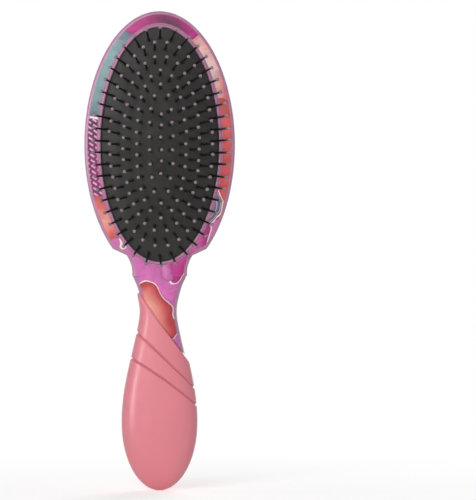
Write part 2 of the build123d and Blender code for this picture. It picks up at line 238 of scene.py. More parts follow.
class StageSettings(bpy.types.PropertyGroup):
    floor: ink("Floor", "#F4F4F4", "Pale floor")
    floor_lift: number("Floor lift", 0.45, "How much the floor glows to the eye", min=0)
    surround: number("Surround", 0.16, "Strength of the light from all round", min=0)
    key: power("Key", 4.4, "Power of each large softbox")
    strip: power("Strip", 3.8, "Power of the tall strip on the left")
    fill: power("Fill", 3.2, "Power of each low softbox")
    side: power("Side", 0.6, "Power of each side softbox")
    distance: length("Distance", 1.6, "From the camera to the brush")
    view_height: length("View height", 234.4 * MM, "Height that the view takes in at the brush")
    offset: length("Offset", 36.8 * MM, "How far left of the view's middle the brush stands")
    azimuth: number("Azimuth", -1.85, "Camera's turn round the brush, in degrees")
    elevation: number("Elevation", 0.4, "Camera's rise over the level, in degrees")


def blend(start, end, share):
    return start + (end - start) * share


def rgba(colour):
    return (*colour, 1)


def feed(node, inputs):
    """Gives inputs of a node their values or a link from a socket."""
    for key, value in inputs.items():
        if isinstance(value, bpy.types.NodeSocket):
            node.id_data.links.new(value, node.inputs[key])
        else:
            node.inputs[key].default_value = value


def add_node(tree, kind, inputs=None, **settings):
    """Adds a node, applies its settings and feeds its inputs."""
    node = tree.nodes.new(kind)
    for name, value in settings.items():
        setattr(node, name, value)
    feed(node, inputs or {})
    return node


def math_node(tree, operation, *values):
    """The result of an operation on numbers."""
    inputs = dict(enumerate(values))
    return add_node(tree, "ShaderNodeMath", inputs, operation=operation).outputs[0]


def vector_node(tree, operation, *values, **named):
    """The result of an operation on vectors, which is a number for a length."""
    inputs = {**dict(enumerate(values)), **named}
    found = add_node(tree, "ShaderNodeVectorMath", inputs, operation=operation).outputs
    return found["Value" if operation == "LENGTH" else "Vector"]


def map_range(tree, value, from_min, from_max, to_min=0.0, to_max=1.0, **settings):
    """A value carried from one range to another, and held inside it."""
    inputs = {"Value": value, "From Min": from_min, "From Max": from_max}
    inputs |= {"To Min": to_min, "To Max": to_max}
    return add_node(tree, "ShaderNodeMapRange", inputs, **settings).outputs["Result"]


def mix_colours(tree, factor, first, second):
    """The first colour where the factor is 0, and the second where it is 1."""
    inputs = {"Factor": factor, "A": first, "B": second}
    return add_node(tree, "ShaderNodeMix", inputs, data_type="RGBA").outputs[2]


def mix_shaders(tree, factor, first, second):
    """The first shader where the factor is 0, and the second where it is 1."""
    inputs = {0: factor, 1: first.outputs[0], 2: second.outputs[0]}
    return add_node(tree, "ShaderNodeMixShader", inputs).outputs[0]


def noise(tree, place, size, detail, **named):
    """The outputs of a noise with patches of a size."""
    inputs = {"Vector": place, "Scale": 1 / size, "Detail": detail, **named}
    return add_node(tree, "ShaderNodeTexNoise", inputs).outputs


def mottled(tree, place, colour, spread, size):
    """A colour that drifts lighter and darker by a share of itself over patches of a size."""
    darker = rgba([(1 - spread) * c for c in colour])
    lighter = rgba([min(1, (1 + spread) * c) for c in colour])
    return mix_colours(tree, noise(tree, place, size, detail=4)["Fac"], darker, lighter)


def worn(tree, place, low, high, size):
    """A roughness that wanders between two values over patches of a size, as handling leaves it."""
    middling = (0.35, 0.65)  # nearly all of a noise lies between these
    return map_range(tree, noise(tree, place, size, detail=5)["Fac"], *middling, low, high)


def grained(tree, place, size, depth, strength):
    """The normal of a fine moulded grain of a size."""
    grain = noise(tree, place, size, detail=2)["Fac"]
    inputs = {"Height": grain, "Strength": strength, "Distance": depth}
    return add_node(tree, "ShaderNodeBump", inputs).outputs["Normal"]


def new_material(name, **values):
    """A material with one Principled shader, whose plain inputs are set from values. Gives it with
    its tree, its shader and the place on the piece."""
    material = bpy.data.materials.new(name)
    material.use_nodes = True
    tree = material.node_tree
    tree.nodes.clear()
    inputs = {key.replace("_", " "): value for key, value in values.items()}
    shader = add_node(tree, "ShaderNodeBsdfPrincipled", inputs)
    add_node(tree, "ShaderNodeOutputMaterial", {"Surface": shader.outputs["BSDF"]})
    return material, tree, shader, add_node(tree, "ShaderNodeTexCoord").outputs["Object"]


def link(name, data):
    """A new object of some data, in the scene."""
    item = bpy.data.objects.new(name, data)
    bpy.context.scene.collection.objects.link(item)
    return item


def keep_values(mesh, values):
    """Keeps named lists of one value for each vertex as attributes of a mesh."""
    for name, numbers in values.items():
        mesh.attributes.new(name, "FLOAT", "POINT").data.foreach_set("value", numbers)


def smooth_object(name, mesh, smooth_angle, gap, outward=False):
    """An object of a mesh, with corners closer than a gap joined, shaded smooth up to an angle."""
    edit = bmesh.new()
    edit.from_mesh(mesh)
    bmesh.ops.remove_doubles(edit, verts=edit.verts, dist=gap)
    if outward:
        bmesh.ops.recalc_face_normals(edit, faces=edit.faces)
    edit.to_mesh(mesh)
    edit.free()
    mesh.shade_smooth()
    mesh.set_sharp_from_angle(angle=math.radians(smooth_angle))
    return link(name, mesh)


def mesh_object(name, vertices, faces, smooth_angle=40, values=None):
    """An object of a closed mesh that faces outwards, with any named values for its vertices."""
    mesh = bpy.data.meshes.new(name)
    mesh.from_pydata([tuple(v) for v in vertices], [], faces)
    keep_values(mesh, values or {})
    return smooth_object(name, mesh, smooth_angle, gap=1e-7, outward=True)


def merged_copy(node, name):
    """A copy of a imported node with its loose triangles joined."""
    mesh = frame["nodes"][node].data.copy()
    mesh.name = name
    if "custom_normal" in mesh.attributes:
        mesh.attributes.remove(mesh.attributes["custom_normal"])
    return smooth_object(name, mesh, smooth_angle=30, gap=PACKED_GAP)


def dress(piece, material):
    piece.data.materials.clear()
    piece.data.materials.append(material)


def handle_section(height):
    """Half width, half thickness and exponent of the grip's skin at a height. Above the narrowest
    section the skin runs on round the neck, the grip's step away from it."""
    if height < WIDEST_HEIGHT:
        share = math.sqrt(max(0, 1 - ((WIDEST_HEIGHT - height) / BUTT_LENGTH) ** 2))
        return GRIP_HALF_WIDTH * share, GRIP_HALF_THICKNESS * share, GRIP_ROUNDNESS
    narrow_width, narrow_thickness = NECK_HALF_WIDTH + GRIP_STEP, NECK_HALF_THICKNESS + GRIP_STEP
    if height < NECK_HEIGHT:
        travel = (height - WIDEST_HEIGHT) / (NECK_HEIGHT - WIDEST_HEIGHT)
        share = ((1 + math.cos(math.pi * travel)) / 2) ** GRIP_FULLNESS
        width = blend(narrow_width, GRIP_HALF_WIDTH, share)
        return width, blend(narrow_thickness, GRIP_HALF_THICKNESS, share), GRIP_ROUNDNESS
    travel = min(1, (height - NECK_HEIGHT) / (COLLAR_HEIGHT - NECK_HEIGHT))
    width = blend(narrow_width, NECK_TOP_HALF_WIDTH + GRIP_STEP, travel**NECK_FLARE)
    thickness = blend(narrow_thickness, NECK_TOP_HALF_THICKNESS + GRIP_STEP, travel)
    return width, thickness, blend(GRIP_ROUNDNESS, COLLAR_ROUNDNESS, travel)


# Printed shells

# How far out on its ramp, from its middle, a pool changes colour
HEART_REACH, SKIN_REACH, GATHER_REACH, LINE_REACH, OUTLINE_REACH = 0.05, 0.6, 0.76, 0.768, 0.8
LINE_FADE, GATHER_FADE = 0.006, 0.008
GATHERED_TONE = 0.7
POOL_DEPTH = 1000  # a pool runs right through the brush
DRAWN_LEAN = 35  # degrees
DASH_GAP = 0.4  # bare share of the dashes' pitch
STRIPE_EDGE = (0.86, 0.95)  # a pinstripe's edge, as heights of a band's wave
RIPPLE_SPACING = 0.06  # as a share of the ramp, like the ripples' edge
RIPPLE_EDGE = (0.014, 0.008)
PRINT_FADE = 0.2 * MM


def outline_points():
    """The right half of the shells' outline, seen from the front, from the butt up."""
    heights = np.linspace(grip_low.z, COLLAR_HEIGHT, 50)
    points = [(handle_section(height)[0] - GRIP_STEP, height) for height in heights]
    collar_top = SHOULDER_HEIGHT - SHOULDER_FALL
    for height in np.linspace(COLLAR_WAIST_HEIGHT, collar_top, 10):
        travel = (height - COLLAR_WAIST_HEIGHT) / (collar_top - COLLAR_WAIST_HEIGHT)
        points.append((blend(COLLAR_WAIST_HALF_WIDTH, SHOULDER_HALF_WIDTH, travel**2), height))
    corner = math.asin((SHOULDER_HEIGHT - HEAD_CENTRE) / HEAD_HALF_LENGTH)
    for angle in np.linspace(corner, math.pi / 2, 80):
        z = HEAD_CENTRE + HEAD_HALF_LENGTH * math.sin(angle)
        points.append((HEAD_HALF_WIDTH * math.cos(angle), z))
    return np.array(points)


def frame_points():
    """The right half of the opening for the cushion's frame, seen from the front."""
    turns = np.linspace(-math.pi / 2, math.pi / 2, 120)
    half_width, half_length = CUSHION_HALF_WIDTH + FRAME_WALL, CUSHION_HALF_LENGTH + FRAME_WALL
    return np.column_stack((half_width * np.cos(turns), HEAD_CENTRE + half_length * np.sin(turns)))


def insets(places, outline):
    """Distance of each place from an outline that both sides share, seen from the front."""
    folded = np.column_stack((np.abs(places[:, 0]), places[:, 2]))
    least = np.full(len(folded), HEAD_HALF_WIDTH)
    for start, end in zip(outline, outline[1:]):
        run = end - start
        share = np.clip((folded - start) @ run / (run @ run), 0, 1)
        least = np.minimum(least, np.linalg.norm(folded - start - share[:, None] * run, axis=1))
    return least


def ink_pools(inks):
    """The ink pools in the order that they are laid. Each has its middle across and up and its half
    width and half length in millimetres, its lean towards +X in degrees, its heart and border inks,
    and what is drawn on it."""
    return (
        ((-20, 158), (19, 27), 20, inks.teal, inks.slate, ""),
        ((18, 160), (16, 29), -25, inks.cream, inks.coral, "line"),
        ((27, 120), (13, 31), 6, inks.red, inks.coral, ""),
        ((-25, 116), (14, 25), -12, inks.magenta, inks.plum, "dashes"),
        ((-3, 137), (12, 21), 32, inks.coral, inks.red, "stripes"),
        ((2, 182), (15, 9), 0, inks.plum, inks.magenta, ""),
        ((14, 103), (12, 18), -36, inks.teal, inks.slate, "ripples"),
        ((-10, 98), (11, 19), 18, inks.petal, inks.orchid, "line"),
        ((-25, 87), (10, 14), 38, inks.peach, inks.coral, ""),
        ((13, 78), (9, 14), 28, inks.orchid, inks.magenta, "line"),
        ((-2, 73), (4, 10), -58, inks.petal, inks.orchid, ""),
        ((-3, 47), (10, 15), -10, inks.peach, inks.red, "line"),
    )


def colour_stops(ramp, stops):
    """Gives a colour ramp its stops, each a position, a colour and an opacity."""
    for index, (position, colour, opacity) in enumerate(stops):
        stop = ramp.elements[index] if index < 2 else ramp.elements.new(position)
        stop.position, stop.color = position, (*colour, opacity)


def drawn_marks(tree, inks, place):
    """Rows of dashes and pinstripes over the whole print, 1 where drawn and 0 elsewhere."""
    turn = (math.radians(-90), 0, math.radians(DRAWN_LEAN))
    flat = add_node(tree, "ShaderNodeMapping", {"Vector": place, "Rotation": turn}).outputs[0]
    rows = add_node(
        tree,
        "ShaderNodeTexBrick",
        {
            "Vector": flat,
            "Color1": WHITE,
            "Color2": WHITE,
            "Mortar": BLACK,
            "Scale": 1.0,
            "Mortar Size": DASH_GAP * inks.dash_pitch,
            "Mortar Smooth": 0.5,
            "Brick Width": inks.dash_length,
            "Row Height": inks.dash_pitch,
        },
    )
    # A band texture's period is a tenth of pi over its scale
    bands = add_node(
        tree,
        "ShaderNodeTexWave",
        {"Vector": flat, "Scale": math.pi / 10 / inks.stripe_pitch, "Distortion": 0.0},
        wave_type="BANDS",
        bands_direction="X",
    )
    stripes = map_range(tree, bands.outputs["Fac"], *STRIPE_EDGE)
    return {"dashes": rows.outputs["Color"], "stripes": stripes}


def pool_stops(heart, skin, drawn, cream):
    """Colour stops of an ink pool: its inks, the ink that has gathered towards its border, and a
    cream line round it if anything is drawn on it."""
    gathered = [GATHERED_TONE * c for c in skin]
    stops = [(HEART_REACH, heart, 1), (SKIN_REACH, skin, 1), (GATHER_REACH, gathered, 1)]
    if drawn:
        stops.append((LINE_REACH, cream, 1))
    rim, fade = (cream, LINE_FADE) if drawn else (gathered, GATHER_FADE)
    return stops + [(OUTLINE_REACH, rim, 1), (OUTLINE_REACH + fade, rim, 0)]


def printed_lacquer(inks):
    """Film print under clear lacquer on ABS: overlapping ink pools with crisp borders where the ink
    has gathered, soft washes inside them and a smooth gloss over all."""
    material, tree, shader, place = new_material(
        "printed_lacquered_abs", IOR=1.5, Coat_Weight=0.25, Coat_Roughness=0.2
    )
    folds = noise(tree, place, inks.drift_size, detail=2.5, Roughness=0.45)["Color"]
    swing = vector_node(tree, "SUBTRACT", folds, (0.5, 0.5, 0.5))
    drift = (3 * inks.drift, 0, 3 * inks.drift)  # most of a noise spans a third of its range
    flow = vector_node(tree, "MULTIPLY_ADD", swing, drift, place)
    marks = drawn_marks(tree, inks, place)
    laid = mottled(tree, flow, inks.orchid, spread=0.35, size=16 * MM)
    for (x, z), (half_width, half_length), lean, heart, skin, drawn in ink_pools(inks):
        size = (half_width * MM / OUTLINE_REACH, POOL_DEPTH, half_length * MM / OUTLINE_REACH)
        local = add_node(
            tree,
            "ShaderNodeMapping",
            {
                "Vector": flow,
                "Location": (x * MM, 0, z * MM),
                "Rotation": (0, math.radians(lean), 0),
                "Scale": size,
            },
            vector_type="TEXTURE",
        )
        reach = vector_node(tree, "LENGTH", local.outputs[0])
        wash = add_node(tree, "ShaderNodeValToRGB", {"Fac": reach})
        colour_stops(wash.color_ramp, pool_stops(heart, skin, drawn, inks.cream))
        colour = wash.outputs["Color"]
        if drawn == "ripples":
            waves = math_node(tree, "PINGPONG", reach, RIPPLE_SPACING)
            marks["ripples"] = map_range(tree, waves, *RIPPLE_EDGE)
        if drawn in marks:
            colour = mix_colours(tree, marks[drawn], colour, rgba(inks.petal))
        laid = mix_colours(tree, wash.outputs["Alpha"], laid, colour)
    bloom = noise(tree, flow, size=8 * MM, detail=5, Distortion=1.5)["Fac"]
    tone = map_range(tree, bloom, 0.3, 0.7, to_min=0.82, to_max=1.15)
    washed = add_node(tree, "ShaderNodeHueSaturation", {"Color": laid, "Value": tone})
    printed = 1.0
    for name, bare in (("outline_inset", inks.edge_width), ("frame_inset", inks.bead_width)):
        inset = add_node(tree, "ShaderNodeAttribute", attribute_name=name).outputs["Fac"]
        edge = (bare - PRINT_FADE, bare + PRINT_FADE)
        inside = map_range(tree, inset, *edge, interpolation_type="SMOOTHSTEP")
        printed = math_node(tree, "MULTIPLY", printed, inside)
    moulding = mottled(tree, place, inks.edge, spread=0.06, size=9 * MM)
    colour = mix_colours(tree, printed, moulding, washed.outputs[0])
    wear = worn(tree, place, low=0.24, high=0.36, size=7 * MM)
    feed(shader, {"Base Color": colour, "Roughness": wear})
    return material


class HAIRBRUSH_OT_shells(bpy.types.Operator):
    """Dresses the back shell and the front rim in their print"""

    bl_idname = "hairbrush.shells"
    bl_label = "Printed shells"

    def execute(self, context):
        material = printed_lacquer(context.scene.hairbrush_print)
        for node in ("back_shell", "front_rim"):
            piece = merged_copy(node, f"printed_{node}")
            places = np.array([vertex.co for vertex in piece.data.vertices])
            far = np.full(len(places), HEAD_HALF_WIDTH)
            from_frame = insets(places, frame_points()) if node == "front_rim" else far
            from_outline = insets(places, outline_points())
            keep_values(piece.data, {"outline_inset": from_outline, "frame_inset": from_frame})
            dress(piece, material)
            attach(piece, HANDLE)
            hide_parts(node)
        return {"FINISHED"}


# Cushion


def oval_grid(half_width, half_length, cell):
    """Rows of points over an oval, spaced evenly both ways, whose border lies on the oval."""
    columns, rows = round(2 * half_width / cell), round(2 * half_length / cell)
    grid = []
    for row in range(rows + 1):
        v = 2 * row / rows - 1
        across = []
        for column in range(columns + 1):
            u = 2 * column / columns - 1
            x = half_width * u * math.sqrt(1 - v * v / 2)
            across.append((x, half_length * v * math.sqrt(1 - u * u / 2)))
        grid.append(across)
    return grid


def cap_radius(reach):
    """Radius of the dome's ellipsoid whose surface has fallen by the dome's height at a reach."""
    return reach / math.sqrt(1 - (1 - DOME_HEIGHT / DOME_BULGE) ** 2)


def dome_height(x, z):
    """Height of the cushion over its edge at a place from the cushion's centre."""
    radius_x, radius_z = cap_radius(CUSHION_HALF_WIDTH), cap_radius(CUSHION_HALF_LENGTH)
    depth = DOME_BULGE * math.sqrt(1 - (x / radius_x) ** 2 - (z / radius_z) ** 2)
    return depth - DOME_BULGE + DOME_HEIGHT


def moulded_rubber(cushion):
    """Black natural rubber from a fine-blasted mould: matt, faintly mottled."""
    material, tree, shader, place = new_material(
        "moulded_black_rubber", IOR=1.52, Specular_IOR_Level=0.3
    )
    colour = mottled(tree, place, cushion.rubber, spread=0.18, size=6 * MM)
    wear = worn(tree, place, low=0.55, high=0.7, size=9 * MM)
    grain = grained(tree, place, size=0.5 * MM, depth=0.05 * MM, strength=0.35)
    feed(shader, {"Base Color": colour, "Roughness": wear, "Normal": grain})
    return material


def cushion_dome(cushion, roots):
    """The crowned rubber skin, dimpled round every pin."""
    tree = kdtree.KDTree(len(roots))
    for index, root in enumerate(roots):
        tree.insert((root.x, 0, root.z - HEAD_CENTRE), index)
    tree.balance()
    grid = oval_grid(CUSHION_HALF_WIDTH, CUSHION_HALF_LENGTH, cushion.cell)
    outer, inner = [], []
    for across in grid:
        for x, z in across:
            height = dome_height(x, z)
            near = tree.find((x, 0, z))[2] / cushion.dimple_radius
            dip = cushion.dimple_depth * (1 - near * near) ** 2 if near < 1 else 0
            outer.append((x, DOME_BASE - height + dip, HEAD_CENTRE + z))
            skin = cushion.wall * min(1, height / FULL_WALL_HEIGHT)
            inner.append((x, DOME_BASE - height + skin, HEAD_CENTRE + z))
    columns, count = len(grid[0]), len(outer)
    faces = []
    for row in range(len(grid) - 1):
        for column in range(columns - 1):
            a = row * columns + column
            face = (a, a + 1, a + columns + 1, a + columns)
            faces += [face, tuple(count + corner for corner in reversed(face))]
    return mesh_object("cushion_dome", outer + inner, faces, smooth_angle=60)


def oval_ring(name, profile, count=240):
    """A closed ring round the cushion: profile holds points of margin from its edge and depth."""
    vertices, faces, size = [], [], len(profile)
    for index in range(count):
        c, s = math.cos(2 * math.pi * index / count), math.sin(2 * math.pi * index / count)
        for margin, y in profile:
            half_width, half_length = CUSHION_HALF_WIDTH + margin, CUSHION_HALF_LENGTH + margin
            vertices.append((half_width * c, y, HEAD_CENTRE + half_length * s))
        here, following = index * size, (index + 1) % count * size
        for corner in range(size):
            after = (corner + 1) % size
            faces.append((here + corner, here + after, following + after, following + corner))
    return mesh_object(name, vertices, faces)


class HAIRBRUSH_OT_cushion(bpy.types.Operator):
    """Makes the rubber cushion: its dimpled dome and its flange"""

    bl_idname = "hairbrush.cushion"
    bl_label = "Cushion"

    def execute(self, context):
        cushion = context.scene.hairbrush_cushion
        pins = context.scene.hairbrush_pins
        lines = {node: pin_lines(node, pins) for node in frame["nodes"] if node.endswith("_pins")}
        roots = [root for found in lines.values() for root, _ in found]
        rubber = moulded_rubber(cushion)
        dome = cushion_dome(cushion, roots)
        flange = oval_ring(
            "cushion_flange",
            (
                (0, DOME_BASE),
                (0, FLANGE_FRONT),
                (FLANGE_MARGIN, FLANGE_FRONT),
                (FLANGE_MARGIN, PARTING),
                (-cushion.wall, PARTING),
                (-cushion.wall, DOME_BASE + SKIN_LAP),
            ),
        )
        for piece in (dome, flange):
            dress(piece, rubber)
            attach(piece, HANDLE)
            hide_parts("cushion_pad")
        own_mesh(dome)
        return {"FINISHED"}


def moulded_bead(cushion):
    """Pink ABS, moulded and polished: a narrow glossy bead with a little wear in its tone."""
    material, tree, shader, place = new_material("polished_pink_abs", IOR=1.5)
    colour = mottled(tree, place, cushion.bead, spread=0.12, size=14 * MM)
    wear = worn(tree, place, low=0.22, high=0.34, size=6 * MM)
    feed(shader, {"Base Color": colour, "Roughness": wear})
    return material


class HAIRBRUSH_OT_bead(bpy.types.Operator):
    """Finishes the frame that shows as a bead round the cushion"""

    bl_idname = "hairbrush.bead"
    bl_label = "Frame bead"

    def execute(self, context):
        piece = merged_copy("cushion_frame", "frame_bead")
        dress(piece, moulded_bead(context.scene.hairbrush_cushion))
        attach(piece, HANDLE)
        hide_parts("cushion_frame")
        return {"FINISHED"}


# Pins

PIN_SIDES = 10
SHAFT_SEGMENTS = 3
BALL_RINGS = 6
PIN_LENGTHS = ("Height", "Root radius", "Neck radius", "Ball radius", "Sink", "Stray")


def solids_of(node):
    """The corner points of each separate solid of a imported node."""
    edit = bmesh.new()
    edit.from_mesh(frame["nodes"][node].data)
    bmesh.ops.remove_doubles(edit, verts=edit.verts, dist=PACKED_GAP)
    seen, solids = set(), []
    for start in edit.verts:
        if start in seen:
            continue
        seen.add(start)
        waiting, points = [start], []
        while waiting:
            corner = waiting.pop()
            points.append(corner.co.copy())
            for edge in corner.link_edges:
                other = edge.other_vert(corner)
                if other not in seen:
                    seen.add(other)
                    waiting.append(other)
        solids.append(np.array(points, float))
    edit.free()
    return solids


def pin_lines(node, pins):
    """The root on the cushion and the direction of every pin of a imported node."""
    lines = []
    for points in solids_of(node):
        middle = points.mean(0)
        axis = np.linalg.svd(points - middle, full_matrices=False)[2][0]
        axis = axis if axis[1] < 0 else -axis
        tip = middle + axis * ((points - middle) @ axis).max()
        root = tip - axis * (pins.height - pins.ball_radius)
        lines.append((Vector(root), Vector(axis)))
    return lines


def lifted(tree, mesh, height):
    """A mesh moved up its own axis by a height."""
    move = add_node(tree, "ShaderNodeCombineXYZ", {"Z": height}).outputs[0]
    inputs = {"Geometry": mesh.outputs["Mesh"], "Translation": move}
    return add_node(tree, "GeometryNodeTransform", inputs).outputs[0]


def pin_tree():
    """Geometry nodes that stand a shaft or a ball on each point, along its lean."""
    tree = bpy.data.node_groups.new("cushion_pins", "GeometryNodeTree")
    for way in ("INPUT", "OUTPUT"):
        tree.interface.new_socket("Geometry", in_out=way, socket_type="NodeSocketGeometry")
    kinds = {name: "Float" for name in PIN_LENGTHS}
    kinds |= {"Seed": "Int", "Balls": "Bool", "Material": "Material"}
    for name, kind in kinds.items():
        tree.interface.new_socket(name, in_out="INPUT", socket_type=f"NodeSocket{kind}")
    given = add_node(tree, "NodeGroupInput").outputs
    lean = add_node(
        tree, "GeometryNodeInputNamedAttribute", {"Name": "lean"}, data_type="FLOAT_VECTOR"
    )
    strays = add_node(
        tree,
        "FunctionNodeRandomValue",
        {"Min": (-1, -1, -1), "Max": (1, 1, 1), "Seed": given["Seed"]},
        data_type="FLOAT_VECTOR",
    )
    reach = math_node(tree, "DIVIDE", given["Stray"], given["Height"])
    stray = vector_node(tree, "SCALE", strays.outputs[0], Scale=reach)
    line = vector_node(tree, "NORMALIZE", vector_node(tree, "ADD", lean.outputs[0], stray))
    turn = add_node(tree, "FunctionNodeAlignRotationToVector", {"Vector": line}, axis="Z")
    shaft_height = math_node(tree, "SUBTRACT", given["Height"], given["Ball radius"])
    shaft = add_node(
        tree,
        "GeometryNodeMeshCone",
        {
            "Vertices": PIN_SIDES,
            "Side Segments": SHAFT_SEGMENTS,
            "Radius Top": given["Neck radius"],
            "Radius Bottom": given["Root radius"],
            "Depth": math_node(tree, "ADD", shaft_height, given["Sink"]),
        },
    )
    ball = add_node(
        tree,
        "GeometryNodeMeshUVSphere",
        {"Segments": PIN_SIDES, "Rings": BALL_RINGS, "Radius": given["Ball radius"]},
    )
    shape = add_node(
        tree,
        "GeometryNodeSwitch",
        {
            "Switch": given["Balls"],
            "False": lifted(tree, shaft, math_node(tree, "MULTIPLY", given["Sink"], -1.0)),
            "True": lifted(tree, ball, shaft_height),
        },
        input_type="GEOMETRY",
    )
    points = add_node(tree, "GeometryNodeMeshToPoints", {"Mesh": given["Geometry"]})
    stood = add_node(
        tree,
        "GeometryNodeInstanceOnPoints",
        {"Points": points.outputs[0], "Instance": shape.outputs[0], "Rotation": turn.outputs[0]},
    )
    real = add_node(tree, "GeometryNodeRealizeInstances", {"Geometry": stood.outputs[0]})
    smooth = add_node(tree, "GeometryNodeSetShadeSmooth", {"Geometry": real.outputs[0]})
    inputs = {"Geometry": smooth.outputs[0], "Material": given["Material"]}
    finished = add_node(tree, "GeometryNodeSetMaterial", inputs)
    add_node(tree, "NodeGroupOutput", {"Geometry": finished.outputs[0]})
    return tree


def grow_pins(name, tree, lines, inputs):
    """A plain mesh of the shafts or balls of one row."""
    points = bpy.data.meshes.new(name)
    points.from_pydata([root for root, _ in lines], [], [])
    leans = points.attributes.new("lean", "FLOAT_VECTOR", "POINT")
    leans.data.foreach_set("vector", [part for _, axis in lines for part in axis])
    piece = link(name, points)
    modifier = piece.modifiers.new("Pins", "NODES")
    modifier.node_group = tree
    for socket in tree.interface.items_tree:
        if socket.in_out == "INPUT" and socket.name in inputs:
            modifier[socket.identifier] = inputs[socket.name]
    graph = bpy.context.evaluated_depsgraph_get()
    grown = bpy.data.meshes.new_from_object(piece.evaluated_get(graph))
    piece.modifiers.remove(modifier)
    piece.data = grown
    if not grown.polygons:
        raise RuntimeError(f"no pins grew for {name}")
    return piece


def drawn_nylon(pins):
    """Black nylon monofilament, drawn and cut: slim, a soft sheen along its length."""
    material, tree, shader, place = new_material("drawn_black_nylon", IOR=1.53)
    colour = mottled(tree, place, pins.nylon, spread=0.3, size=2 * MM)
    wear = worn(tree, place, low=0.32, high=0.46, size=3 * MM)
    feed(shader, {"Base Color": colour, "Roughness": wear})
    return material


def dipped_tip(pins):
    """Balls of pink epoxy, dipped and cured: small, round, with a soft gloss."""
    material, tree, shader, place = new_material("dipped_pink_epoxy", IOR=1.5)
    colour = mottled(tree, place, pins.tip, spread=0.2, size=7 * MM)
    wear = worn(tree, place, low=0.3, high=0.42, size=4 * MM)
    feed(shader, {"Base Color": colour, "Roughness": wear})
    return material


class HAIRBRUSH_OT_pins(bpy.types.Operator):
    """Grows the rows of ball-tipped pins"""

    bl_idname = "hairbrush.pins"
    bl_label = "Pins"

    def execute(self, context):
        pins = context.scene.hairbrush_pins
        tree = pin_tree()
        nylon, tip = drawn_nylon(pins), dipped_tip(pins)
        inputs = {name: getattr(pins, name.lower().replace(" ", "_")) for name in PIN_LENGTHS}
        inputs["Seed"] = pins.seed
        for node in sorted(name for name in frame["nodes"] if name.endswith("_pins")):
            row = node.removesuffix("_pins")
            lines = pin_lines(node, pins)
            body = frame["nodes"][node]["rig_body"]
            for ending, stands_for, balls, material, slot in (
                ("shafts", node, False, nylon, "pins"),
                ("tips", f"{row}_balls", True, tip, "balls"),
            ):
                chosen = {**inputs, "Balls": balls, "Material": material}
                piece = grow_pins(f"{row}_{ending}", tree, lines, chosen)
                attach(piece, body)
                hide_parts(stands_for)
        return {"FINISHED"}


# Grip


def grip_point(turn, height, inset=0):
    """Point of the grip's skin at a turn round the section and a height, moved in by inset."""
    half_width, half_thickness, exponent = handle_section(height)
    c, s = math.cos(turn), math.sin(turn)
    x = max(0, half_width - inset) * math.copysign(abs(c) ** (2 / exponent), c)
    y = max(0, half_thickness - inset) * math.copysign(abs(s) ** (2 / exponent), s)
    return x, y, height


def crossing(turn, height, slope, bow=0, rounds=60):
    """Place across and height at which a column of the skin meets a surface, found in rounds. The
    surface has the height given in the middle. It falls towards +X by its slope, and away from the
    middle by its bow."""
    x, found = 0, height
    for _ in range(rounds):
        x = grip_point(turn, found)[0]
        found = height - slope * x - bow * x * x
    return x, found


def groove_rows(grip):
    """Places across a groove, as distance from its middle and share of its depth."""
    count = 14
    rows = []
    for index in range(count + 1):
        place = math.sin(math.pi * (index / count - 0.5))
        rows.append((place * grip.groove_half_width, 1 - place**2))
    return rows


def grip_column(grip, turn):
    """Height, inset and share of a groove's depth of every row of one column of the grip, from the
    butt to inside its edge."""
    butt_rows, lower_rows, middle_rows, upper_rows, roll_rows = 30, 30, 14, 20, 9
    rows = []
    for index in range(1, butt_rows):
        rows.append((WIDEST_HEIGHT - BUTT_LENGTH * math.cos(math.pi / 2 * index / butt_rows), 0, 0))
    reached = WIDEST_HEIGHT
    for height, slope, bow, count in (
        (grip.lower_height, grip.lower_slope, grip.lower_bow, lower_rows),
        (grip.upper_height, grip.upper_slope, grip.upper_bow, middle_rows),
    ):
        x, middle = crossing(turn, height, slope, bow)
        stretch = math.hypot(1, slope + 2 * bow * x)  # a slanting groove is this much taller
        start = middle - grip.groove_half_width * stretch
        rows += [(blend(reached, start, index / count), 0, 0) for index in range(count)]
        for away, share in groove_rows(grip):
            rows.append((middle + away * stretch, share * grip.groove_depth, share))
        reached = middle + grip.groove_half_width * stretch
    edge = crossing(turn, grip.edge_height, math.tan(math.radians(grip.edge_tilt)))[1]
    rise = grip.lip / math.cos(math.radians(grip.edge_tilt))
    for index in range(1, upper_rows):
        rows.append((blend(reached, edge - rise, index / upper_rows), 0, 0))
    for index in range(roll_rows + 1):
        bend = math.pi / 2 * index / roll_rows
        rows.append((edge - rise + rise * math.sin(bend), grip.lip * (1 - math.cos(bend)), 0))
    return rows + [(edge, GRIP_WALL, 0), (edge - GRIP_WALL, GRIP_WALL, 0)]


def grip_skin(grip):
    """The soft sleeve as one closed skin, its grooves following bowed slanting surfaces."""
    turns = [2 * math.pi * index / grip.columns for index in range(grip.columns)]
    columns = [grip_column(grip, turn) for turn in turns]
    size = len(columns[0])
    vertices, recess = [], []
    for turn, column in zip(turns, columns):
        vertices += [grip_point(turn, height, inset) for height, inset, _ in column]
        recess += [share for _, _, share in column]
    faces = []
    for index in range(grip.columns):
        here, following = index * size, (index + 1) % grip.columns * size
        for row in range(size - 1):
            faces.append((here + row, following + row, following + row + 1, here + row + 1))
    butt, core = len(vertices), len(vertices) + 1
    vertices += [(0, 0, WIDEST_HEIGHT - BUTT_LENGTH), (0, 0, SLEEVE_CORE_HEIGHT)]
    recess += [0, 0]
    for index in range(grip.columns):
        here, following = index * size, (index + 1) % grip.columns * size
        faces += [(butt, following, here), (core, here + size - 1, following + size - 1)]
    # recess, each vertex's share of a groove's depth, lays on the painted groove shade.
    return mesh_object("grip_skin", vertices, faces, smooth_angle=50, values={"recess": recess})


